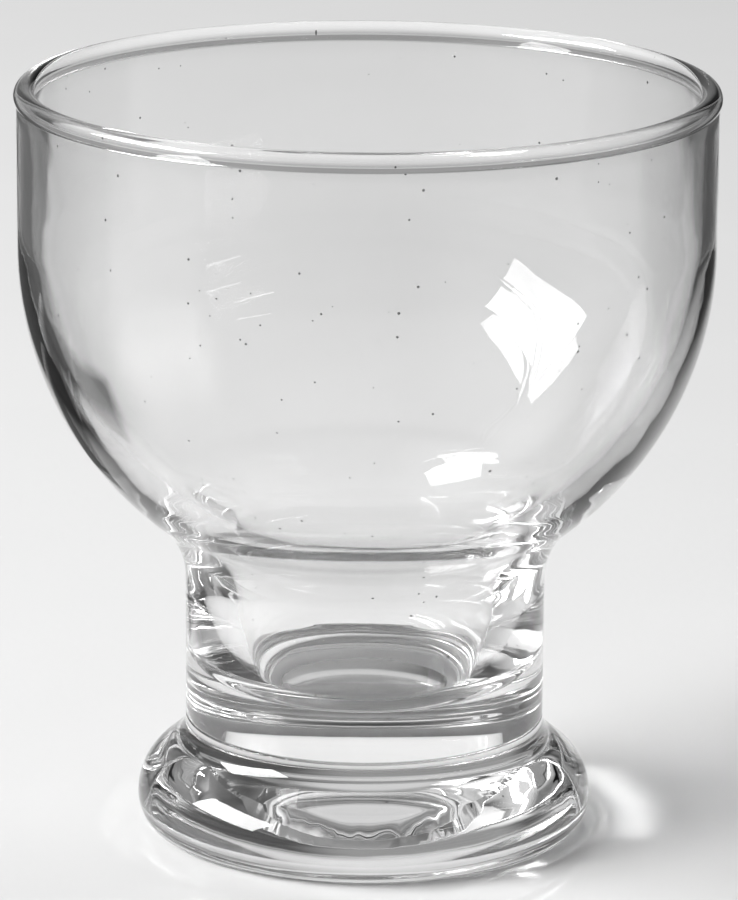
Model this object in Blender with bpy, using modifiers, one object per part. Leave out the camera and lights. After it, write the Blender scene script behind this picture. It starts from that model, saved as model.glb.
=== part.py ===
"""Footed clear-glass tumbler, in metres, +Z up, standing on the origin.

A blown bowl with a melted rim and a hollow, tapering collar is fused onto a thick round foot.
Each of the two gathers of glass is one turned solid: a half section swept round the Z axis.
"""
import math

import bpy

MM = 0.001
JOIN_GAP = 0.3 * MM
SWEEP_STEPS = 64

# Rim: a melted bead that stands proud of the wall on both sides
RIM_RADIUS = 42.0 * MM
BEAD_RADIUS = 1.3 * MM
BEAD_HEIGHT = 90.0 * MM

# Bowl wall: straight at the top, then one round arc down to the neck
WALL_RADIUS = 41.7 * MM
WALL_THICKNESS = 1.8 * MM
WALL_FOOT_HEIGHT = 71.7 * MM
BOWL_ARC_RADIUS = 42.4 * MM

# Inside of the bowl: its arc starts higher than the outer one, so the glass thickens to the neck
INNER_ARC_RADIUS = 40.0 * MM
INNER_ARC_LIFT = 1.9 * MM

# Collar: a straight cylinder outside, a round-walled cavity inside
COLLAR_RADIUS = 21.75 * MM
NECK_FILLET = 10.0 * MM
NECK_INNER_ROUNDING = 17.5 * MM
CAVITY_RADIUS = 17.0 * MM
CAVITY_WIDEST_HEIGHT = 38.0 * MM
CAVITY_ARC_RADIUS = 70.0 * MM
CAVITY_FLOOR_HEIGHT = 17.8 * MM
CAVITY_FLOOR_ROUNDING = 4.5 * MM

# Foot: widest just above its oval base edge, with a round shoulder, a flank and a hollow groove
FOOT_RADIUS = 27.6 * MM
WIDEST_HEIGHT = 3.47 * MM
EDGE_WIDTH = 2.42 * MM
SHOULDER_RADIUS = 6.85 * MM
FLANK_ANGLE = 0.88
GROOVE_FILLET = 3.98 * MM

# Underside: a flat resting ring round a shallow recess, with a low stepped dome at its middle
RECESS_RADIUS = 20.5 * MM
RECESS_DEPTH = 1.2 * MM
RECESS_FLANK = 1.0 * MM
DIMPLE_RADIUS = 15.0 * MM
DIMPLE_STEP = 0.2 * MM
DIMPLE_FLANK = 0.6 * MM
DIMPLE_DOME = 1.3 * MM

CLEAR_GLASS = (0.95, 0.96, 0.96, 1.0)
GLASS_ROUGHNESS = 0.02
GLASS_IOR = 1.5


def arc(centre: tuple, radius: float, start: float, end: float, segments: int) -> list:
    """Return the points of an arc in the (radius, height) half plane, both ends included."""
    turn = (end - start) / segments
    angles = [start + turn * step for step in range(segments + 1)]
    return [(centre[0] + radius * math.cos(a), centre[1] + radius * math.sin(a)) for a in angles]


def meeting(first: tuple, first_reach: float, second: tuple, second_reach: float) -> tuple:
    """Return the point at given distances from two others, left of the way from one to the other."""
    apart = math.dist(first, second)
    along = (first_reach ** 2 - second_reach ** 2 + apart ** 2) / (2 * apart)
    aside = math.sqrt(first_reach ** 2 - along ** 2)
    way = ((second[0] - first[0]) / apart, (second[1] - first[1]) / apart)
    return first[0] + along * way[0] - aside * way[1], first[1] + along * way[1] + aside * way[0]


def cavity_section() -> list:
    """Return the inside of the bowl and collar, from the middle of the floor up to the wall."""
    wall_centre = (CAVITY_RADIUS - CAVITY_ARC_RADIUS, CAVITY_WIDEST_HEIGHT)
    bowl_centre = (
        WALL_RADIUS - WALL_THICKNESS - INNER_ARC_RADIUS,
        WALL_FOOT_HEIGHT + INNER_ARC_LIFT,
    )

    # The floor's rounding touches the cavity's round wall from within
    corner_height = CAVITY_FLOOR_HEIGHT + CAVITY_FLOOR_ROUNDING
    corner_drop = CAVITY_WIDEST_HEIGHT - corner_height
    across = math.sqrt((CAVITY_ARC_RADIUS - CAVITY_FLOOR_ROUNDING) ** 2 - corner_drop ** 2)
    wall_start = -math.atan2(corner_drop, across)
    corner_centre = (wall_centre[0] + across, corner_height)

    # The inner neck rounding touches both the cavity's wall and the bowl's inner arc
    bowl_reach = INNER_ARC_RADIUS + NECK_INNER_ROUNDING
    wall_reach = CAVITY_ARC_RADIUS + NECK_INNER_ROUNDING
    neck_centre = meeting(bowl_centre, bowl_reach, wall_centre, wall_reach)
    wall_end = math.atan2(neck_centre[1] - wall_centre[1], neck_centre[0] - wall_centre[0])
    bowl_start = math.atan2(neck_centre[1] - bowl_centre[1], neck_centre[0] - bowl_centre[0])

    corner = arc(corner_centre, CAVITY_FLOOR_ROUNDING, -math.pi / 2, wall_start, 7)
    wall = arc(wall_centre, CAVITY_ARC_RADIUS, wall_start, wall_end, 4)
    neck = arc(neck_centre, NECK_INNER_ROUNDING, math.pi + wall_end, math.pi + bowl_start, 6)
    bowl = arc(bowl_centre, INNER_ARC_RADIUS, bowl_start, 0.0, 12)
    return [(0.0, CAVITY_FLOOR_HEIGHT)] + corner + wall[1:] + neck[1:] + bowl[1:]


def bowl_section() -> list:
    """Return the bowl's half section: up the inside, over the rim, down the outside."""
    # The bead runs from the inner face of the wall over the top to its outer face
    bead_centre = (RIM_RADIUS - BEAD_RADIUS, BEAD_HEIGHT)
    inner_wall = WALL_RADIUS - WALL_THICKNESS
    bead_start = math.pi + math.acos((bead_centre[0] - inner_wall) / BEAD_RADIUS)
    bead_end = -math.acos((WALL_RADIUS - bead_centre[0]) / BEAD_RADIUS)
    bead = arc(bead_centre, BEAD_RADIUS, bead_start, bead_end, 12)

    # The outer neck fillet touches the bowl's arc and the collar
    arc_centre = (WALL_RADIUS - BOWL_ARC_RADIUS, WALL_FOOT_HEIGHT)
    fillet_radius = COLLAR_RADIUS + NECK_FILLET
    fillet_drop = math.sqrt((BOWL_ARC_RADIUS + NECK_FILLET) ** 2 - (fillet_radius - arc_centre[0]) ** 2)
    fillet_centre = (fillet_radius, arc_centre[1] - fillet_drop)
    fillet_angle = math.atan2(fillet_drop, fillet_radius - arc_centre[0])
    outer_bowl = arc(arc_centre, BOWL_ARC_RADIUS, 0.0, -fillet_angle, 12)
    outer_neck = arc(fillet_centre, NECK_FILLET, math.pi - fillet_angle, math.pi, 6)

    base_height = groove_height() + JOIN_GAP
    base = [(COLLAR_RADIUS, base_height), (0.0, base_height)]
    return cavity_section() + bead + outer_bowl + outer_neck[1:] + base


def groove_height() -> float:
    """Return the height where the groove's fillet ends on the collar."""
    rise = math.sin(FLANK_ANGLE)
    lean = math.cos(FLANK_ANGLE)
    shoulder_end = FOOT_RADIUS - SHOULDER_RADIUS * (1.0 - lean)
    flank_end = COLLAR_RADIUS + GROOVE_FILLET * (1.0 - lean)
    flank = (shoulder_end - flank_end) * lean / rise
    return WIDEST_HEIGHT + (SHOULDER_RADIUS + GROOVE_FILLET) * rise + flank


def underside_section() -> list:
    """Return the foot's underside, from the resting ring in to the top of the dome."""
    roof = RECESS_DEPTH + DIMPLE_STEP
    brim = DIMPLE_RADIUS - DIMPLE_FLANK
    ring = [(RECESS_RADIUS + RECESS_FLANK, 0.0), (RECESS_RADIUS, RECESS_DEPTH)]
    cap_radius = (brim ** 2 + DIMPLE_DOME ** 2) / (2 * DIMPLE_DOME)
    cap_centre = (0.0, roof + DIMPLE_DOME - cap_radius)
    dome = arc(cap_centre, cap_radius, math.acos(brim / cap_radius), math.pi / 2, 6)
    return ring + [(DIMPLE_RADIUS, RECESS_DEPTH)] + dome


def foot_section() -> list:
    """Return the foot's half section: across the top, down the outside, in along the underside."""
    top = groove_height()
    groove_centre = (COLLAR_RADIUS + GROOVE_FILLET, top)
    groove = arc(groove_centre, GROOVE_FILLET, math.pi, math.pi + FLANK_ANGLE, 6)
    shoulder_centre = (FOOT_RADIUS - SHOULDER_RADIUS, WIDEST_HEIGHT)
    shoulder = arc(shoulder_centre, SHOULDER_RADIUS, FLANK_ANGLE, 0.0, 7)

    # The lower edge is a quarter of an oval that stands taller than it is wide
    edge_centre = (FOOT_RADIUS - EDGE_WIDTH, 0.0)
    stretch = WIDEST_HEIGHT / EDGE_WIDTH
    quarter = arc(edge_centre, EDGE_WIDTH, 0.0, -math.pi / 2, 6)
    edge = [(radius, WIDEST_HEIGHT + height * stretch) for radius, height in quarter]
    return [(0.0, top)] + groove + shoulder + edge[1:] + underside_section()


def glass(name: str) -> bpy.types.Material:
    """Return a clear, colourless glass material."""
    material = bpy.data.materials.new(name)
    material.use_nodes = True
    shader = material.node_tree.nodes["Principled BSDF"]
    shader.inputs["Base Color"].default_value = CLEAR_GLASS
    shader.inputs["Roughness"].default_value = GLASS_ROUGHNESS
    shader.inputs["Metallic"].default_value = 0.0
    shader.inputs["IOR"].default_value = GLASS_IOR
    shader.inputs["Transmission Weight"].default_value = 1.0
    return material


def turned(name: str, section: list, collection: bpy.types.Collection) -> bpy.types.Object:
    """Sweep a half section once round the Z axis and return the closed, smooth solid."""
    mesh = bpy.data.meshes.new(name)
    points = [(radius, 0.0, height) for radius, height in section]
    mesh.from_pydata(points, [(i, i + 1) for i in range(len(points) - 1)], [])
    mesh.materials.append(glass(f"{name}_glass"))
    piece = bpy.data.objects.new(name, mesh)
    collection.objects.link(piece)
    sweep = piece.modifiers.new("Sweep", "SCREW")
    sweep.axis = "Z"
    sweep.angle = math.tau
    sweep.steps = SWEEP_STEPS
    sweep.render_steps = SWEEP_STEPS
    sweep.use_merge_vertices = True
    sweep.merge_threshold = 0.01 * MM
    sweep.use_smooth_shade = True
    return piece


def main() -> None:
    """Clear the scene and build the two pieces of glass."""
    for old in list(bpy.data.objects):
        bpy.data.objects.remove(old, do_unlink=True)
    collection = bpy.data.collections.new("tumbler")
    bpy.context.scene.collection.children.link(collection)
    turned("foot", foot_section(), collection)
    turned("bowl", bowl_section(), collection)


main()
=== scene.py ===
"""Looks of a clear-glass footed tumbler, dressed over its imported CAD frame.

Two turned pieces of glass, the blown bowl with its hollow collar and the thick foot, meet in a
fused joint that light passes as if it weren't there. Sizes are in metres, +Z is up, and the origin
is at the middle of the resting ring.
"""

import logging
import math
from dataclasses import dataclass, field
from enum import Enum

import bpy
from mathutils import Matrix, Vector


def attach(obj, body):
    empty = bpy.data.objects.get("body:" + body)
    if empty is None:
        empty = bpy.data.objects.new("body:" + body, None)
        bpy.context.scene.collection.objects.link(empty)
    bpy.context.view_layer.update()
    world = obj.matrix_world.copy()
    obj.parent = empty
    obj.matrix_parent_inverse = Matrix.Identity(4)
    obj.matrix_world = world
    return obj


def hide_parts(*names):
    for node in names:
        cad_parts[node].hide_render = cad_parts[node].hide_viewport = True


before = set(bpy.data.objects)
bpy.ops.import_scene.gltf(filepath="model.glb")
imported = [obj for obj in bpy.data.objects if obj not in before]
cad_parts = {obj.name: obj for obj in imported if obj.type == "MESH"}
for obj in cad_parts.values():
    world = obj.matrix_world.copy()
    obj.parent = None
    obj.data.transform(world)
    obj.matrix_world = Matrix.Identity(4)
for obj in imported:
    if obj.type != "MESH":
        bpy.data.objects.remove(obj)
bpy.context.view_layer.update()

log = logging.getLogger("tumbler")

MM = 0.001
IMAGE_WIDTH = 738
IMAGE_HEIGHT = 900

# Sockets of a Mix node that are its colour ones
MIX_FIRST_COLOUR = 6
MIX_SECOND_COLOUR = 7
MIX_COLOUR_RESULT = 2

# How many straight steps the curves and lines of a section are drawn in
SEAM_STEPS = 5
ROUNDING_STEPS = 6
SHORT_STEPS = 8
LINE_STEPS = 12
CURVE_STEPS = 16
NECK_STEPS = 20
ROUND_STEPS = 24
SHOULDER_STEPS = 28
BEAD_STEPS = 36
BOWL_STEPS = 56

# Section points nearer to each other than this are one point
SAME_PLACE = 0.001 * MM

Point = tuple[float, float]
Colour = tuple[float, float, float, float]


class Body(Enum):
    """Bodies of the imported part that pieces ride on."""

    ROOT = "root"


class Slot(Enum):
    """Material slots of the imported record."""

    BOWL = "bowl_glass"
    FOOT = "foot_glass"


# Node trees

class Wire:
    """A node's output socket, on which Python operators add Math nodes."""

    def __init__(self, maker: "NodeMaker", socket: bpy.types.NodeSocket) -> None:
        """Keep the socket and the maker of its tree."""
        self.maker = maker
        self.socket = socket

    def output(self, name: str) -> "Wire":
        """Return another output of the same node."""
        return Wire(self.maker, self.socket.node.outputs[name])

    def math(self, operation: str, *others: "Wire | float") -> "Wire":
        """Add a Math node whose first value is this socket.

        Args:
            operation: the Math node's operation.
            others: its second and third values, where it has them.

        Returns:
            The node's result.
        """
        return self.maker.math(operation, self, *others)

    def __add__(self, other: "Wire | float") -> "Wire":
        """Return self + other."""
        return self.maker.math("ADD", self, other)

    def __radd__(self, other: float) -> "Wire":
        """Return other + self."""
        return self.maker.math("ADD", other, self)

    def __sub__(self, other: "Wire | float") -> "Wire":
        """Return self - other."""
        return self.maker.math("SUBTRACT", self, other)

    def __rsub__(self, other: float) -> "Wire":
        """Return other - self."""
        return self.maker.math("SUBTRACT", other, self)

    def __mul__(self, other: "Wire | float") -> "Wire":
        """Return self * other."""
        return self.maker.math("MULTIPLY", self, other)

    def __rmul__(self, other: float) -> "Wire":
        """Return other * self."""
        return self.maker.math("MULTIPLY", other, self)

    def __truediv__(self, other: "Wire | float") -> "Wire":
        """Return self / other."""
        return self.maker.math("DIVIDE", self, other)

    def __rtruediv__(self, other: float) -> "Wire":
        """Return other / self."""
        return self.maker.math("DIVIDE", other, self)

    def __lt__(self, other: "Wire | float") -> "Wire":
        """Return 1 where self is below other, else 0."""
        return self.maker.math("LESS_THAN", self, other)

    def __gt__(self, other: "Wire | float") -> "Wire":
        """Return 1 where self is above other, else 0."""
        return self.maker.math("GREATER_THAN", self, other)


class NodeMaker:
    """Adds nodes to one tree."""

    def __init__(self, tree: bpy.types.NodeTree) -> None:
        """Keep the tree."""
        self.tree = tree

    def node(self, kind: str, settings: dict[str, object] | None = None,
             sockets: dict[str | int, object] | None = None, output: str | int = 0) -> Wire:
        """Add a node.

        Args:
            kind: the node's type.
            settings: its properties, set first.
            sockets: values or wires for its inputs, by name or number.
            output: name or number of the output to return.

        Returns:
            The chosen output.
        """
        made = self.tree.nodes.new(kind)
        for name, value in (settings or {}).items():
            setattr(made, name, value)
        for name, value in (sockets or {}).items():
            self.feed(made.inputs[name], value)
        return Wire(self, made.outputs[output]) if made.outputs else Wire(self, None)

    def feed(self, socket: bpy.types.NodeSocket, value: object) -> None:
        """Link a wire to an input socket, or set its plain value.

        Args:
            socket: the input.
            value: a wire, or a value of the socket's type.
        """
        if isinstance(value, Wire):
            self.tree.links.new(value.socket, socket)
        else:
            socket.default_value = value

    def math(self, operation: str, *values: "Wire | float") -> Wire:
        """Add a Math node.

        Args:
            operation: the node's operation.
            values: its values, in order.

        Returns:
            The node's result.
        """
        return self.node("ShaderNodeMath", {"operation": operation}, dict(enumerate(values)))

    def vector(self, operation: str, *values: "Wire | Vector | tuple[float, float, float]",
               output: str = "Vector") -> Wire:
        """Add a Vector Math node.

        Args:
            operation: the node's operation.
            values: its vectors, in order.
            output: "Vector", or "Value" where the result is a number.

        Returns:
            The node's result.
        """
        return self.node("ShaderNodeVectorMath", {"operation": operation},
                         dict(enumerate(values)), output)

    def mix_colour(self, share: Wire, first: "Wire | Colour", second: "Wire | Colour") -> Wire:
        """Mix two colours.

        Args:
            share: 0 gives the first colour and 1 the second.
            first: a colour or a wire.
            second: a colour or a wire.

        Returns:
            The mixed colour.
        """
        sockets = {"Factor": share, MIX_FIRST_COLOUR: first, MIX_SECOND_COLOUR: second}
        return self.node("ShaderNodeMix", {"data_type": "RGBA"}, sockets, MIX_COLOUR_RESULT)

    def smooth(self, value: Wire, start: float, end: float, full: float = 1.0,
               empty: float = 0.0) -> Wire:
        """Go smoothly from one result to another as a value goes from one bound to another.

        Args:
            value: the value.
            start: the value up to which the result is empty.
            end: the value from which the result is full.
            full: the result at the end.
            empty: the result at the start.

        Returns:
            The result.
        """
        return self.node("ShaderNodeMapRange", {"interpolation_type": "SMOOTHSTEP"},
                         {"Value": value, "From Min": start, "From Max": end,
                          "To Min": empty, "To Max": full})

    def noise(self, place: Wire, size: float, detail: float) -> Wire:
        """Add a Noise Texture node.

        Args:
            place: the coordinates.
            size: about how large its patches are.
            detail: how many finer layers it has.

        Returns:
            The noise, about 0.5.
        """
        sockets = {"Vector": place, "Scale": 1.0 / size, "Detail": detail}
        return self.node("ShaderNodeTexNoise", None, sockets)


# Finishes

@dataclass(frozen=True)
class ClearGlass:
    """Clear, colourless glass with a few fine specks and faint water marks."""

    tint: Colour = (0.93, 0.93, 0.93, 1.0)
    speck_tint: Colour = (0.05, 0.05, 0.05, 1.0)
    ior: float = 1.5
    speck_spacing: float = 2.6 * MM
    speck_radius: float = 0.2 * MM
    speck_share: float = 0.6
    smudge_size: float = 14.0 * MM
    smudge_detail: float = 4.0
    smudge_start: float = 0.62
    smudge_full: float = 0.78
    smudge_roughness: float = 0.035
    ripple_size: float = 3.0 * MM
    ripple_detail: float = 1.0
    ripple_height: float = 0.004 * MM

    def make(self, name: str) -> bpy.types.Material:
        """Build the material.

        Args:
            name: the material's name.

        Returns:
            The material.
        """
        material = bpy.data.materials.new(name)
        material.use_nodes = True
        tree = material.node_tree
        maker = NodeMaker(tree)
        shader = tree.nodes["Principled BSDF"]
        place = maker.node("ShaderNodeTexCoord", output="Object")

        maker.feed(shader.inputs["Base Color"], self._colour(maker, place))
        maker.feed(shader.inputs["Roughness"], self._roughness(maker, place))
        maker.feed(shader.inputs["Normal"], self._normal(maker, place))
        shader.inputs["IOR"].default_value = self.ior
        shader.inputs["Transmission Weight"].default_value = 1.0
        return material

    def _colour(self, maker: NodeMaker, place: Wire) -> Wire:
        """Return the tint, with a dark speck in some of the cells of a loose pattern.

        Args:
            maker: the maker of the material's tree.
            place: the object's coordinates.

        Returns:
            The colour.
        """
        cells = maker.node("ShaderNodeTexVoronoi", {"feature": "F1"},
                           {"Vector": place, "Scale": 1.0 / self.speck_spacing}, "Distance")
        pick = maker.node("ShaderNodeSeparateColor", None, {"Color": cells.output("Color")}, "Red")
        radius = pick.output("Green") * (self.speck_radius / self.speck_spacing)
        speck = (cells < radius) * (pick < self.speck_share)
        return maker.mix_colour(speck, self.tint, self.speck_tint)

    def _roughness(self, maker: NodeMaker, place: Wire) -> Wire:
        """Return no roughness at all but for faint dull smudges.

        Args:
            maker: the maker of the material's tree.
            place: the object's coordinates.

        Returns:
            The roughness.
        """
        noise = maker.noise(place, self.smudge_size, self.smudge_detail)
        return maker.smooth(noise, self.smudge_start, self.smudge_full, self.smudge_roughness)

    def _normal(self, maker: NodeMaker, place: Wire) -> Wire:
        """Return a normal with the slow ripple of a fire-polished surface.

        Args:
            maker: the maker of the material's tree.
            place: the object's coordinates.

        Returns:
            The normal.
        """
        noise = maker.noise(place, self.ripple_size, self.ripple_detail)
        return maker.node("ShaderNodeBump", None,
                          {"Height": noise, "Distance": self.ripple_height, "Strength": 1.0})


@dataclass(frozen=True)
class FusedJoint:
    """The inner face where two pieces of glass are melted together: nothing shows there."""

    def make(self, name: str) -> bpy.types.Material:
        """Build the material.

        Args:
            name: the material's name.

        Returns:
            The material.
        """
        material = bpy.data.materials.new(name)
        material.use_nodes = True
        shader = material.node_tree.nodes["Principled BSDF"]
        shader.inputs["Alpha"].default_value = 0.0
        return material


@dataclass(frozen=True)
class GlossyWhite:
    """A pale, faintly glossy table top, a little darker near the viewer by painted shade, with a
    painted shadow under the foot.
    """

    colour: Colour = (0.84, 0.84, 0.84, 1.0)
    shade: Colour = (0.80, 0.80, 0.80, 1.0)
    roughness: float = 0.16
    specular: float = 0.3
    patch_size: float = 50.0 * MM
    patch_detail: float = 6.0
    # Painted shade: towards the viewer the table's colour goes darker, as the light falls off there
    painted_near_shade: Colour = (0.74, 0.74, 0.74, 1.0)
    near_start: float = 12.0 * MM
    near_end: float = -36.0 * MM
    # Painted shadow: a dark round patch on the table under the foot, reaching out on the side away
    # from the key lamp
    painted_foot_shadow: Colour = (0.42, 0.42, 0.42, 1.0)
    foot_full: float = 24.0 * MM
    foot_end: float = 29.5 * MM
    foot_shift: float = 3.0 * MM

    def make(self, name: str) -> bpy.types.Material:
        """Build the material.

        Args:
            name: the material's name.

        Returns:
            The material.
        """
        material = bpy.data.materials.new(name)
        material.use_nodes = True
        maker = NodeMaker(material.node_tree)
        shader = material.node_tree.nodes["Principled BSDF"]
        place = maker.node("ShaderNodeTexCoord", output="Object")
        noise = maker.noise(place, self.patch_size, self.patch_detail)
        pale = maker.mix_colour(noise, self.colour, self.shade)
        # Painted shade: the colour goes darker towards the viewer
        behind = maker.node("ShaderNodeSeparateXYZ", None, {0: place}, "Y")
        far = maker.smooth(behind, self.near_end, self.near_start)
        pale = maker.mix_colour(far, self.painted_near_shade, pale)

        # The painted shadow under the foot reaches out a little on the side away from the key lamp
        aside = maker.vector("SUBTRACT", place, (self.foot_shift, 0.0, 0.0))
        away = maker.vector("LENGTH", aside, output="Value")
        clear = maker.smooth(away, self.foot_full, self.foot_end)
        colour = maker.mix_colour(clear, self.painted_foot_shadow, pale)
        maker.feed(shader.inputs["Base Color"], colour)
        shader.inputs["Roughness"].default_value = self.roughness
        shader.inputs["Specular IOR Level"].default_value = self.specular
        return material


# Sections

def arc(centre: Point, radius: float, start: float, end: float, segments: int) -> list[Point]:
    """Points of an arc in the (radius, height) half plane, both ends included.

    Args:
        centre: the arc's centre.
        radius: its radius.
        start: its first angle, in radians.
        end: its last angle.
        segments: how many equal steps it takes.

    Returns:
        The points, in order.
    """
    turn = (end - start) / segments
    angles = [start + turn * step for step in range(segments + 1)]
    return [(centre[0] + radius * math.cos(a), centre[1] + radius * math.sin(a)) for a in angles]


def line(start: Point, end: Point, segments: int) -> list[Point]:
    """Points of a straight line, both ends included.

    Args:
        start: the first point.
        end: the last point.
        segments: how many equal steps it takes.

    Returns:
        The points, in order.
    """
    shares = [step / segments for step in range(segments + 1)]
    way = (end[0] - start[0], end[1] - start[1])
    return [(start[0] + way[0] * share, start[1] + way[1] * share) for share in shares]


def rounded(before: Point, corner: Point, after: Point, radius: float,
            segments: int) -> list[Point]:
    """Points of the arc that rounds a corner between two straight lines.

    Args:
        before: a point on the line that comes to the corner.
        corner: the corner.
        after: a point on the line that leaves it.
        radius: the rounding's radius.
        segments: how many equal steps the arc takes.

    Returns:
        The points, in order.
    """
    mid = Vector(corner)
    come = (Vector(before) - mid).normalized()
    leave = (Vector(after) - mid).normalized()
    half = come.angle(leave) / 2
    centre = mid + (come + leave).normalized() * (radius / math.sin(half))
    first = mid + come * (radius / math.tan(half)) - centre
    last = mid + leave * (radius / math.tan(half)) - centre
    start = math.atan2(first.y, first.x)
    turn = math.remainder(math.atan2(last.y, last.x) - start, math.tau)
    return arc((centre.x, centre.y), radius, start, start + turn, segments)


def meeting(first: Point, first_reach: float, second: Point, second_reach: float) -> Point:
    """The point at given distances from two others, on the left hand going from one to the other.

    Args:
        first: the point that one goes from.
        first_reach: the distance from it.
        second: the point that one goes to.
        second_reach: the distance from that.

    Returns:
        The point.
    """
    apart = math.dist(first, second)
    along = (first_reach ** 2 - second_reach ** 2 + apart ** 2) / (2.0 * apart)
    aside = math.sqrt(first_reach ** 2 - along ** 2)
    way = ((second[0] - first[0]) / apart, (second[1] - first[1]) / apart)
    return first[0] + along * way[0] - aside * way[1], first[1] + along * way[1] + aside * way[0]


@dataclass
class Section:
    """A half section, run so that the glass's outside lies on its right hand."""

    points: list[Point] = field(default_factory=list)
    wave: list[float] = field(default_factory=list)
    ripple: list[float] = field(default_factory=list)
    joint: list[bool] = field(default_factory=list)

    def add(self, points: list[Point], wave: float = 0.0, ripple: float = 0.0,
            joint: bool = False) -> None:
        """Run the section on through more points, leaving out one that is there already.

        Args:
            points: the points, in order.
            wave: how much of the glass's slow waviness they take.
            ripple: how much of the uneven edge they take.
            joint: whether they lie on the fused joint.
        """
        for point in points:
            if self.points and math.dist(point, self.points[-1]) < SAME_PLACE:
                continue
            self.points.append(point)
            self.wave.append(wave)
            self.ripple.append(ripple)
            self.joint.append(joint)

    def outward(self) -> list[Vector]:
        """Find the way out of the glass at each point, in the section's plane.

        Returns:
            The unit vectors, in order.
        """
        ways = []
        for index in range(len(self.points)):
            before = Vector(self.points[max(index - 1, 0)])
            after = Vector(self.points[min(index + 1, len(self.points) - 1)])
            along = (after - before).normalized()
            ways.append(Vector((along.y, 0.0, -along.x)))
        return ways

    def mesh(self, name: str) -> bpy.types.Mesh:
        """Return the section as a chain of edges with its values as point attributes.

        Args:
            name: the mesh's name.

        Returns:
            The mesh.
        """
        mesh = bpy.data.meshes.new(name)
        places = [(radius, 0.0, height) for radius, height in self.points]
        mesh.from_pydata(places, [(i, i + 1) for i in range(len(places) - 1)], [])
        outward = mesh.attributes.new("outward", "FLOAT_VECTOR", "POINT")
        outward.data.foreach_set("vector", [axis for way in self.outward() for axis in way])
        for title, values in (("wave", self.wave), ("ripple", self.ripple)):
            mesh.attributes.new(title, "FLOAT", "POINT").data.foreach_set("value", values)
        mesh.attributes.new("joint", "BOOLEAN", "POINT").data.foreach_set("value", self.joint)
        return mesh


# Turning

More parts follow.
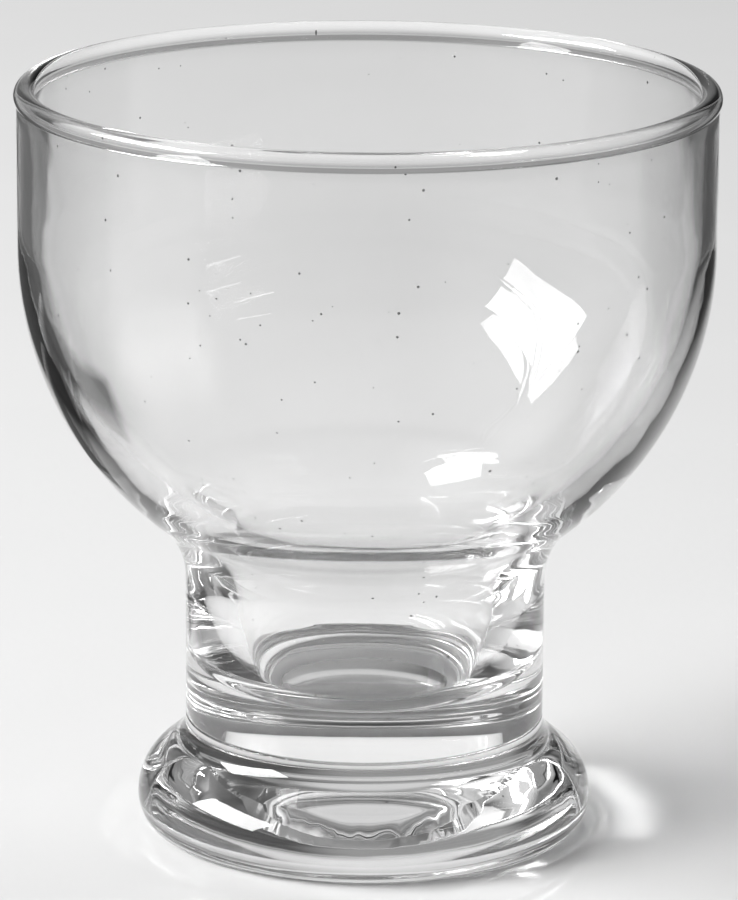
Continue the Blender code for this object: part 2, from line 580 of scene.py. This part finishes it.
@dataclass
class TurnedGlass:
    """The rule that turns a half section round the axis into a closed piece of glass."""

    steps: int = 256
    waviness: float = 0.03 * MM
    wave_size: float = 9.0 * MM
    wave_detail: float = 1.0
    ripple: float = 0.35 * MM
    ripple_count: float = 5.0
    ripple_detail: float = 4.0
    ripple_roughness: float = 0.7
    seed: float = 3.0
    merge: float = 0.0005 * MM

    def tree(self) -> bpy.types.NodeTree:
        """Build the Geometry Nodes tree, unless it is there already.

        Returns:
            The tree.
        """
        name = "turned_glass"
        if name in bpy.data.node_groups:
            return bpy.data.node_groups[name]
        tree = bpy.data.node_groups.new(name, "GeometryNodeTree")
        for title, kind in (("Section", "Geometry"), ("Steps", "Int"), ("Waviness", "Float"),
                            ("Wave Size", "Float"), ("Ripple", "Float"), ("Ripple Count", "Float"),
                            ("Seed", "Float"), ("Merge Distance", "Float"),
                            ("Glass", "Material"), ("Joint", "Material")):
            tree.interface.new_socket(title, in_out="INPUT", socket_type=f"NodeSocket{kind}")
        tree.interface.new_socket("Piece", in_out="OUTPUT", socket_type="NodeSocketGeometry")
        self._wire(NodeMaker(tree))
        return tree

    def _wire(self, maker: NodeMaker) -> None:
        """Add the tree's nodes: a grid, one column for each step, wrapped round the axis.

        Args:
            maker: the maker of the tree.
        """
        given = maker.node("NodeGroupInput", output="Section")
        steps = given.output("Steps")
        count = maker.node("GeometryNodeAttributeDomainSize", {"component": "MESH"},
                           {"Geometry": given}, "Point Count")
        columns = steps + 1.0
        grid = maker.node("GeometryNodeMeshGrid", None,
                          {"Vertices X": count, "Vertices Y": columns})
        index = maker.node("GeometryNodeInputIndex")
        row = (index / columns).math("FLOOR")
        turn = (index - row * columns) / steps * -math.tau

        def sampled(title: str, kind: str) -> Wire:
            """Return one of the section's attributes at the row's point.

            Args:
                title: the attribute's name.
                kind: its data type.

            Returns:
                The value.
            """
            value = maker.node("GeometryNodeInputNamedAttribute", {"data_type": kind},
                               {"Name": title})
            return maker.node("GeometryNodeSampleIndex", {"data_type": kind},
                              {"Geometry": given, "Value": value, "Index": row})

        place = maker.node("ShaderNodeSeparateXYZ", None, {0: sampled("position", "FLOAT_VECTOR")})
        facing = maker.node("ShaderNodeSeparateXYZ", None, {0: sampled("outward", "FLOAT_VECTOR")})
        across = turn.math("COSINE")
        along = turn.math("SINE")
        smooth = self._turned(maker, place, place.output("Z"), across, along)

        # Slow waves move the surface along its own facing, and ripples move an edge to and fro
        seed = given.output("Seed")
        waves = maker.node("ShaderNodeTexNoise", {"noise_dimensions": "4D"},
                           {"Vector": smooth, "W": seed, "Detail": self.wave_detail,
                            "Scale": 1.0 / given.output("Wave Size")})
        wave = self._centred(waves) * given.output("Waviness") * sampled("wave", "FLOAT")
        circle = maker.node("ShaderNodeCombineXYZ", None, {"X": across, "Y": along})
        uneven = maker.node("ShaderNodeTexNoise", {"noise_dimensions": "4D"},
                            {"Vector": circle, "W": seed, "Detail": self.ripple_detail,
                             "Roughness": self.ripple_roughness,
                             "Scale": given.output("Ripple Count")})
        ripple = self._centred(uneven) * given.output("Ripple") * sampled("ripple", "FLOAT")
        radius = place + facing * wave + ripple
        height = place.output("Z") + facing.output("Z") * wave
        moved = self._turned(maker, radius, height, across, along)
        shaped = maker.node("GeometryNodeSetPosition", None, {"Geometry": grid, "Position": moved})
        marked = maker.node("GeometryNodeStoreNamedAttribute", {"data_type": "BOOLEAN"},
                            {"Geometry": shaped, "Name": "joint",
                             "Value": sampled("joint", "BOOLEAN")})
        closed = maker.node("GeometryNodeMergeByDistance", None,
                            {"Geometry": marked, "Distance": given.output("Merge Distance")})

        on_joint = maker.node("GeometryNodeInputNamedAttribute", {"data_type": "BOOLEAN"},
                              {"Name": "joint"})
        smoothed = maker.node("GeometryNodeSetShadeSmooth", {"domain": "FACE"},
                              {"Geometry": closed})
        edged = maker.node("GeometryNodeSetShadeSmooth", {"domain": "EDGE"},
                           {"Geometry": smoothed, "Selection": on_joint, "Shade Smooth": False})
        whole = maker.node("GeometryNodeRealizeInstances", None, {"Geometry": edged})
        glass = maker.node("GeometryNodeSetMaterial", None,
                           {"Geometry": whole, "Material": given.output("Glass")})
        both = maker.node("GeometryNodeSetMaterial", None,
                          {"Geometry": glass, "Selection": on_joint,
                           "Material": given.output("Joint")})
        maker.node("NodeGroupOutput", None, {"Piece": both})

    @staticmethod
    def _centred(noise: Wire) -> Wire:
        """Return a noise about 0.5 as one about 0, twice as strong."""
        return (noise - 0.5) * 2.0

    @staticmethod
    def _turned(maker: NodeMaker, radius: Wire, height: Wire, across: Wire, along: Wire) -> Wire:
        """Return the place of a section point once it is turned round the axis.

        Args:
            maker: the maker of the tree.
            radius: distance from the axis.
            height: height over the table.
            across: cosine of the turn.
            along: sine of the turn.

        Returns:
            The place.
        """
        return maker.node("ShaderNodeCombineXYZ", None,
                          {"X": radius * across, "Y": radius * along, "Z": height})

    def turn(self, name: str, section: Section, glass: bpy.types.Material,
             joint: bpy.types.Material) -> bpy.types.Object:
        """Turn a section into a plain, closed mesh object.

        Args:
            name: the piece's name.
            section: its half section.
            glass: the material of its surface.
            joint: the material of its fused joint.

        Returns:
            The piece.
        """
        piece = bpy.data.objects.new(name, section.mesh(f"{name}_section"))
        bpy.context.scene.collection.objects.link(piece)
        modifier = piece.modifiers.new("Turn", "NODES")
        modifier.node_group = self.tree()
        values = {
            "Steps": self.steps, "Waviness": self.waviness, "Wave Size": self.wave_size,
            "Ripple": self.ripple, "Ripple Count": self.ripple_count, "Seed": self.seed,
            "Merge Distance": self.merge, "Glass": glass, "Joint": joint,
        }
        for socket in modifier.node_group.interface.items_tree:
            if socket.in_out == "INPUT" and socket.name in values:
                modifier[socket.identifier] = values[socket.name]
        drawn = piece.evaluated_get(bpy.context.evaluated_depsgraph_get())
        mesh = bpy.data.meshes.new_from_object(drawn)
        piece.modifiers.remove(modifier)
        piece.data = mesh
        mesh.name = name
        return piece


# Pieces

@dataclass
class BowlGlass:
    """The blown bowl: melted rim, round wall, neck and hollow collar with its thick floor."""

    rim_radius: float = 42.0 * MM
    bead_radius: float = 1.3 * MM
    bead_height: float = 90.0 * MM
    bead_fillet: float = 0.5 * MM
    wall_radius: float = 41.7 * MM
    wall_thickness: float = 1.8 * MM
    wall_foot_height: float = 71.7 * MM
    arc_radius: float = 42.4 * MM
    inner_arc_radius: float = 40.0 * MM
    inner_arc_lift: float = 1.9 * MM
    collar_radius: float = 21.75 * MM
    neck_fillet: float = 10.0 * MM
    neck_inner_rounding: float = 17.5 * MM
    cavity_radius: float = 17.0 * MM
    cavity_widest_height: float = 38.0 * MM
    cavity_arc_radius: float = 70.0 * MM
    floor_height: float = 17.8 * MM
    floor_rounding: float = 4.5 * MM
    base_height: float = 13.62 * MM
    seam: float = 0.2 * MM
    collar_wave: float = 0.3
    neck_wave: float = 0.5
    outer_wave: float = 0.6
    inner_wave: float = 1.0
    corner_wave: float = 0.5
    floor_wave: float = 0.3

    def section(self) -> Section:
        """Run out along the joint, up the outside, over the rim and down the inside.

        Returns:
            The half section.
        """
        section = Section()
        edge = (self.collar_radius - self.seam, self.base_height)
        section.add([(0.0, self.base_height), edge], joint=True)
        self._add_outside(section)
        self._add_bead(section)
        self._add_inside(section)
        return section

    def _add_outside(self, section: Section) -> None:
        """Add the collar, the neck's fillet and the bowl's outer arc.

        Args:
            section: the section to run on.
        """
        centre = (self.wall_radius - self.arc_radius, self.wall_foot_height)
        radius = self.collar_radius + self.neck_fillet
        drop = math.sqrt((self.arc_radius + self.neck_fillet) ** 2 - (radius - centre[0]) ** 2)
        fillet = (radius, centre[1] - drop)
        angle = math.atan2(drop, radius - centre[0])
        rounding = (self.collar_radius - self.seam, self.base_height + self.seam)
        section.add(arc(rounding, self.seam, -math.pi / 2, 0.0, SEAM_STEPS))
        section.add(line(section.points[-1], (self.collar_radius, fillet[1]), LINE_STEPS),
                    wave=self.collar_wave)
        section.add(arc(fillet, self.neck_fillet, math.pi, math.pi - angle, CURVE_STEPS),
                    wave=self.neck_wave)
        section.add(arc(centre, self.arc_radius, -angle, 0.0, BOWL_STEPS), wave=self.outer_wave)

    def _add_bead(self, section: Section) -> None:
        """Add the wall and its melted bead, with small fillets where the bead stands proud.

        Args:
            section: the section to run on.
        """
        centre = (self.rim_radius - self.bead_radius, self.bead_height)
        reach = self.bead_radius + self.bead_fillet
        outer = self.wall_radius + self.bead_fillet
        inner = self.wall_radius - self.wall_thickness - self.bead_fillet
        outer_drop = math.sqrt(reach ** 2 - (outer - centre[0]) ** 2)
        inner_drop = math.sqrt(reach ** 2 - (centre[0] - inner) ** 2)
        outer_angle = math.atan2(outer_drop, outer - centre[0])
        inner_angle = math.atan2(inner_drop, centre[0] - inner)
        outer_centre = (outer, self.bead_height - outer_drop)
        inner_centre = (inner, self.bead_height - inner_drop)
        wall_foot = (self.wall_radius, self.wall_foot_height)
        wall_top = (self.wall_radius, outer_centre[1])
        bead_end = math.pi + inner_angle
        for points in (
            line(wall_foot, wall_top, LINE_STEPS),
            arc(outer_centre, self.bead_fillet, math.pi, math.pi - outer_angle, SEAM_STEPS),
            arc(centre, self.bead_radius, -outer_angle, bead_end, BEAD_STEPS),
            arc(inner_centre, self.bead_fillet, inner_angle, 0.0, SEAM_STEPS),
        ):
            section.add(points, wave=self.outer_wave)

    def _add_inside(self, section: Section) -> None:
        """Add the inner wall and arc, the rounded neck, the round-walled cavity and its floor.

        Args:
            section: the section to run on.
        """
        radius = self.inner_arc_radius
        inner_wall = self.wall_radius - self.wall_thickness
        centre = (inner_wall - radius, self.wall_foot_height + self.inner_arc_lift)
        wall = (self.cavity_radius - self.cavity_arc_radius, self.cavity_widest_height)

        # The neck's rounding touches both the inner arc and the cavity's round wall
        neck = meeting(centre, radius + self.neck_inner_rounding,
                       wall, self.cavity_arc_radius + self.neck_inner_rounding)
        angle = math.atan2(centre[1] - neck[1], neck[0] - centre[0])
        wall_start = math.atan2(neck[1] - wall[1], neck[0] - wall[0])

        # The floor's rounding touches that wall from within
        corner_height = self.floor_height + self.floor_rounding
        corner_drop = wall[1] - corner_height
        across = math.sqrt((self.cavity_arc_radius - self.floor_rounding) ** 2 - corner_drop ** 2)
        corner = (wall[0] + across, corner_height)
        wall_end = -math.atan2(corner_drop, across)

        neck_end = math.pi + wall_start
        for points in (
            line(section.points[-1], (centre[0] + radius, centre[1]), SHORT_STEPS),
            arc(centre, radius, 0.0, -angle, BOWL_STEPS),
            arc(neck, self.neck_inner_rounding, math.pi - angle, neck_end, NECK_STEPS),
            arc(wall, self.cavity_arc_radius, wall_start, wall_end, CURVE_STEPS),
        ):
            section.add(points, wave=self.inner_wave)
        section.add(arc(corner, self.floor_rounding, wall_end, -math.pi / 2, ROUND_STEPS),
                    wave=self.corner_wave)
        section.add(line(section.points[-1], (0.0, self.floor_height), SHORT_STEPS),
                    wave=self.floor_wave)


@dataclass
class FootGlass:
    """The thick foot: round shoulder, straight flank, resting ring, recess and domed dimple."""

    collar_radius: float = 21.75 * MM
    foot_radius: float = 27.6 * MM
    widest_height: float = 3.47 * MM
    edge_width: float = 2.42 * MM
    shoulder_radius: float = 6.85 * MM
    flank_angle: float = 0.88
    groove_fillet: float = 3.98 * MM
    seam: float = 0.2 * MM
    recess_radius: float = 20.5 * MM
    recess_depth: float = 1.2 * MM
    recess_flank: float = 1.0 * MM
    recess_rounding: float = 0.5 * MM
    dimple_radius: float = 15.0 * MM
    dimple_step: float = 0.2 * MM
    dimple_flank: float = 0.6 * MM
    dimple_dome: float = 1.3 * MM
    dimple_rounding: float = 0.2 * MM
    dome_wave: float = 0.4
    surface_wave: float = 0.3
    groove_wave: float = 0.2

    def groove_height(self) -> float:
        """Work out where the groove's fillet ends on the collar.

        Returns:
            The height.
        """
        rise = math.sin(self.flank_angle)
        lean = math.cos(self.flank_angle)
        shoulder_end = self.foot_radius - self.shoulder_radius * (1.0 - lean)
        flank_end = self.collar_radius + self.groove_fillet * (1.0 - lean)
        flank = (shoulder_end - flank_end) * lean / rise
        return self.widest_height + (self.shoulder_radius + self.groove_fillet) * rise + flank

    def top(self) -> float:
        """Return the height of the fused joint, just over the groove."""
        return self.groove_height() + self.seam

    def section(self) -> Section:
        """Run out along the underside, up the outside and in along the joint.

        Returns:
            The half section.
        """
        section = Section()
        self._add_underside(section)
        self._add_shoulder(section)
        inner = self.collar_radius - self.seam
        section.add(arc((inner, self.groove_height()), self.seam, 0.0, math.pi / 2, SEAM_STEPS))
        section.joint[-1] = True
        section.add([(0.0, self.top())], joint=True)
        return section

    def _add_underside(self, section: Section) -> None:
        """Add the domed dimple with its uneven lip, the recess and the flat resting ring.

        Args:
            section: the section to run on.
        """
        depth = self.recess_depth
        brim = (self.dimple_radius - self.dimple_flank, depth + self.dimple_step)
        lip = (self.dimple_radius, depth)
        roof = (self.recess_radius, depth)
        ring = (self.recess_radius + self.recess_flank, 0.0)
        edge = (self.foot_radius - self.edge_width, 0.0)
        cap = (brim[0] ** 2 + self.dimple_dome ** 2) / (2 * self.dimple_dome)
        centre = (0.0, brim[1] + self.dimple_dome - cap)
        dome = arc(centre, cap, math.pi / 2, math.acos(brim[0] / cap), ROUND_STEPS)
        wave = self.surface_wave
        section.add(dome[:-1], wave=self.dome_wave)
        for before, corner, after in ((dome[-2], brim, lip), (brim, lip, roof)):
            section.add(rounded(before, corner, after, self.dimple_rounding, ROUNDING_STEPS),
                        wave=wave, ripple=1.0)
        section.add(line(section.points[-1], roof, LINE_STEPS)[:-1], wave=wave)
        section.add(rounded(lip, roof, ring, self.recess_rounding, ROUNDING_STEPS), wave=wave)
        section.add(rounded(roof, ring, edge, self.recess_rounding, ROUNDING_STEPS))
        section.add(line(section.points[-1], edge, ROUNDING_STEPS))

    def _add_shoulder(self, section: Section) -> None:
        """Add the rounded edge, the round shoulder, the straight flank and the groove's fillet.

        Args:
            section: the section to run on.
        """
        angle = self.flank_angle
        edge = (self.foot_radius - self.edge_width, self.widest_height)
        stretch = self.widest_height / self.edge_width
        wave = self.surface_wave
        for radius, height in arc(edge, self.edge_width, -math.pi / 2, 0.0, CURVE_STEPS):
            section.add([(radius, edge[1] + (height - edge[1]) * stretch)], wave=wave)
        shoulder = (self.foot_radius - self.shoulder_radius, self.widest_height)
        section.add(arc(shoulder, self.shoulder_radius, 0.0, angle, SHOULDER_STEPS), wave=wave)
        groove = (self.collar_radius + self.groove_fillet, self.groove_height())
        fillet = arc(groove, self.groove_fillet, math.pi + angle, math.pi, NECK_STEPS)
        section.add(line(section.points[-1], fillet[0], ROUNDING_STEPS), wave=wave)
        section.add(fillet, wave=self.groove_wave)


@dataclass
class Tumbler:
    """The whole glass: the bowl and the foot, melted together."""

    bowl: BowlGlass = field(default_factory=BowlGlass)
    foot: FootGlass = field(default_factory=FootGlass)
    lathe: TurnedGlass = field(default_factory=TurnedGlass)
    finish: ClearGlass = field(default_factory=ClearGlass)
    joint: FusedJoint = field(default_factory=FusedJoint)

    def build(self) -> list[bpy.types.Object]:
        """Build and dress both pieces, and set them on the frame.

        Returns:
            The pieces.
        """
        fused = self.joint.make("fused_joint")
        pieces = []
        for name, part, slot in (("bowl", self.bowl, Slot.BOWL), ("foot", self.foot, Slot.FOOT)):
            glass = self.finish.make(f"{name}_clear_glass")
            piece = self.lathe.turn(f"{name}_glass", part.section(), glass, fused)
            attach(piece, Body.ROOT.value)
            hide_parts(name)
            log.info("%s: %d vertices", piece.name, len(piece.data.vertices))
            pieces.append(piece)
        return pieces


# Studio

def direction(azimuth: float, elevation: float) -> Vector:
    """Return a direction from the glass.

    Args:
        azimuth: degrees to the right of straight behind the glass, as the camera sees it.
        elevation: degrees above the table.

    Returns:
        The unit vector.
    """
    side, lift = math.radians(azimuth), math.radians(elevation)
    level = math.cos(lift)
    return Vector((math.sin(side) * level, math.cos(side) * level, math.sin(lift)))


@dataclass
class Lamp:
    """A soft oblong lamp that faces the glass."""

    name: str
    azimuth: float
    elevation: float
    distance: float
    width: float
    height: float
    radiance: float
    turn: float = 0.0
    target: tuple[float, float, float] = (0.0, 0.0, 0.04)

    def build(self) -> bpy.types.Object:
        """Make the lamp.

        Returns:
            The lamp.
        """
        light = bpy.data.lights.new(self.name, "AREA")
        light.shape = "RECTANGLE"
        light.size = self.width
        light.size_y = self.height
        light.energy = self.radiance * math.pi * self.width * self.height
        lamp = bpy.data.objects.new(self.name, light)
        bpy.context.scene.collection.objects.link(lamp)
        way = direction(self.azimuth, self.elevation)
        lamp.location = Vector(self.target) + way * self.distance
        facing = (-way).to_track_quat("-Z", "Y").to_matrix() @ Matrix.Rotation(self.turn, 3, "Z")
        lamp.rotation_euler = facing.to_euler()
        return lamp


@dataclass
class PaintedShadeCard:
    """A dark, soft-edged card of painted shade on the table beside the view, seen only by way of
    the glass.
    """

    name: str
    inner: float
    outer: float
    near: float
    far: float
    edge_soft: float
    near_soft: float
    far_soft: float
    lean: float = 0.0
    strength: float = 0.92
    height: float = 0.5 * MM
    # The card's dark colour is painted shade, shown only in the glass's reflections and refractions
    colour: Colour = (0.02, 0.02, 0.02, 1.0)

    def build(self) -> bpy.types.Object:
        """Make the card, unseen by the camera, by diffuse rays and by shadow rays.

        Returns:
            The card.
        """
        mesh = bpy.data.meshes.new(self.name)
        corners = [(self.inner, self.near), (self.outer, self.near),
                   (self.outer, self.far), (self.inner, self.far)]
        mesh.from_pydata([(x, y, self.height) for x, y in corners], [], [(0, 1, 2, 3)])
        mesh.materials.append(self._finish())
        card = bpy.data.objects.new(self.name, mesh)
        bpy.context.scene.collection.objects.link(card)
        card.visible_camera = False
        card.visible_diffuse = False
        card.visible_shadow = False
        return card

    def _finish(self) -> bpy.types.Material:
        """Make the card's painted shade, which fades out at its inner, near and far edges.

        Returns:
            The material.
        """
        material = bpy.data.materials.new(self.name)
        material.use_nodes = True
        maker = NodeMaker(material.node_tree)
        shader = material.node_tree.nodes["Principled BSDF"]
        place = maker.node("ShaderNodeTexCoord", output="Object")
        across = maker.node("ShaderNodeSeparateXYZ", None, {0: place})
        away = across.output("Y")
        aside = across.math("ABSOLUTE") - away * self.lean
        cover = maker.smooth(aside, abs(self.inner), abs(self.inner) + self.edge_soft)
        cover = cover * maker.smooth(away, self.near, self.near + self.near_soft)
        cover = cover * maker.smooth(0.0 - away, 0.0 - self.far, self.far_soft - self.far)
        maker.feed(shader.inputs["Alpha"], cover * self.strength)
        shader.inputs["Base Color"].default_value = self.colour
        return material


@dataclass
class Glow:
    """A soft round patch of light in the surroundings."""

    azimuth: float
    elevation: float
    full_angle: float
    end_angle: float
    level: float

    def add(self, maker: NodeMaker, way: Wire) -> Wire:
        """Return the patch's level in the world's node tree.

        Args:
            maker: the maker of the world's tree.
            way: the direction looked in.

        Returns:
            The level.
        """
        axis = direction(self.azimuth, self.elevation)
        near = maker.vector("DOT_PRODUCT", way, axis, output="Value")
        return maker.smooth(near, math.cos(math.radians(self.end_angle)),
                            math.cos(math.radians(self.full_angle)), self.level)


@dataclass
class Studio:
    """A pale table under a soft lamp, in a dim room with a pale horizon and soft glows."""

    table_half: float = 3.0
    table_drop: float = 0.02 * MM
    table_finish: GlossyWhite = field(default_factory=GlossyWhite)
    room_level: float = 0.05
    horizon_level: float = 0.35
    horizon_full: float = 0.05
    horizon_end: float = 0.11
    ambient_level: float = 0.40
    bounces: int = 18
    glows: list[Glow] = field(default_factory=lambda: [
        Glow(azimuth=-106.0, elevation=19.5, full_angle=1.0, end_angle=57.0, level=0.75),
        Glow(azimuth=-38.0, elevation=75.0, full_angle=30.0, end_angle=54.0, level=0.22),
        Glow(azimuth=-47.0, elevation=40.0, full_angle=8.0, end_angle=22.0, level=0.9),
        Glow(azimuth=-3.0, elevation=49.0, full_angle=6.0, end_angle=18.0, level=0.45),
        Glow(azimuth=92.0, elevation=4.0, full_angle=8.0, end_angle=30.0, level=0.46),
        Glow(azimuth=150.0, elevation=52.0, full_angle=8.0, end_angle=44.0, level=0.16),
        Glow(azimuth=-13.0, elevation=16.0, full_angle=14.0, end_angle=28.0, level=0.27),
    ])
    lamps: list[Lamp] = field(default_factory=lambda: [
        Lamp("key", azimuth=-101.0, elevation=30.2, distance=2.2, width=1.73, height=0.81,
             radiance=19.5, turn=math.radians(-7.0)),
        Lamp("low_strip", azimuth=123.0, elevation=18.5, distance=1.5, width=0.4, height=0.014,
             radiance=5.0),
        Lamp("high_strip", azimuth=131.0, elevation=33.0, distance=1.5, width=0.4, height=0.014,
             radiance=5.0),
    ])
    # Cards of painted shade that darken the table where the glass shows it beside the view
    shade_cards: list[PaintedShadeCard] = field(default_factory=lambda: [
        PaintedShadeCard("left_painted_shade", inner=-0.064, outer=-0.9, near=-0.03, far=2.9,
                 edge_soft=0.02, near_soft=0.04, far_soft=0.5, lean=0.12),
        PaintedShadeCard("near_left_painted_shade", inner=-0.051, outer=-0.13, near=0.06, far=0.138,
                 edge_soft=0.006, near_soft=0.008, far_soft=0.025, strength=0.86),
        PaintedShadeCard("right_painted_shade", inner=0.085, outer=0.9, near=0.02, far=2.9,
                 edge_soft=0.055, near_soft=0.06, far_soft=0.5, lean=0.05),
    ])

    def build(self) -> None:
        """Make the table, the lamps, the cards of painted shade and the surroundings."""
        self._table()
        self._surroundings()
        for prop in self.lamps + self.shade_cards:
            prop.build()
            log.info("studio: %s", prop.name)
        scene = bpy.context.scene
        scene.view_settings.view_transform = "Standard"
        scene.cycles.max_bounces = self.bounces
        scene.cycles.transmission_bounces = self.bounces
        scene.cycles.glossy_bounces = self.bounces
        scene.cycles.transparent_max_bounces = self.bounces
        scene.cycles.blur_glossy = 0.0

    def _table(self) -> None:
        """Lay the table top."""
        half = self.table_half
        mesh = bpy.data.meshes.new("table_top")
        corners = [(-half, -half), (half, -half), (half, half), (-half, half)]
        mesh.from_pydata([(x, y, -self.table_drop) for x, y in corners], [], [(0, 1, 2, 3)])
        mesh.materials.append(self.table_finish.make("glossy_white"))
        table = bpy.data.objects.new("table_top", mesh)
        bpy.context.scene.collection.objects.link(table)
        log.info("studio: table top")

    def _surroundings(self) -> None:
        """Give the world the room that is seen, and the even light that the table gets from it."""
        world = bpy.data.worlds.new("room")
        bpy.context.scene.world = world
        world.use_nodes = True
        maker = NodeMaker(world.node_tree)
        way = maker.node("ShaderNodeTexCoord", output="Generated")
        height = maker.node("ShaderNodeSeparateXYZ", None, {0: way}, "Z")
        seen = maker.smooth(height, self.horizon_full, self.horizon_end, self.room_level,
                            self.horizon_level)
        for glow in self.glows:
            seen = seen + glow.add(maker, way)
        ray = maker.node("ShaderNodeLightPath", output="Is Camera Ray")
        looked_at = ray.math("MAXIMUM", ray.output("Is Glossy Ray"))
        looked_at = looked_at.math("MAXIMUM", ray.output("Is Transmission Ray"))
        level = seen * looked_at + (1.0 - looked_at) * self.ambient_level
        background = world.node_tree.nodes["Background"]
        background.inputs["Color"].default_value = (1.0, 1.0, 1.0, 1.0)
        maker.feed(background.inputs["Strength"], level)


@dataclass
class Viewpoint:
    """A camera a little above the rim, looking down at the glass."""

    place: tuple[float, float, float] = (0.0, -0.6379, 0.2155)
    pitch: float = math.radians(14.868)
    roll: float = math.radians(0.3671)
    focal_pixels: float = 5476.3
    centre_pixels: Point = (365.8, 451.07)
    sensor: float = 36.0

    def build(self) -> None:
        """Make the camera and set it as the scene's."""
        data = bpy.data.cameras.new("viewpoint")
        data.sensor_width = self.sensor
        data.lens = self.focal_pixels * self.sensor / IMAGE_HEIGHT
        data.shift_x = (IMAGE_WIDTH / 2 - self.centre_pixels[0]) / IMAGE_HEIGHT
        data.shift_y = (self.centre_pixels[1] - IMAGE_HEIGHT / 2) / IMAGE_HEIGHT
        camera = bpy.data.objects.new("viewpoint", data)
        bpy.context.scene.collection.objects.link(camera)
        camera.location = self.place
        tilt = Matrix.Rotation(math.pi / 2 - self.pitch, 3, "X")
        facing = tilt @ Matrix.Rotation(self.roll, 3, "Z")
        camera.rotation_euler = facing.to_euler()
        bpy.context.scene.camera = camera
        log.info("camera")


def main() -> None:
    """Build the glass, the studio and the camera in order."""
    logging.basicConfig(level=logging.INFO, format="%(name)s: %(message)s")
    Tumbler().build()
    Studio().build()
    Viewpoint().build()


if __name__ == "__main__":
    main()
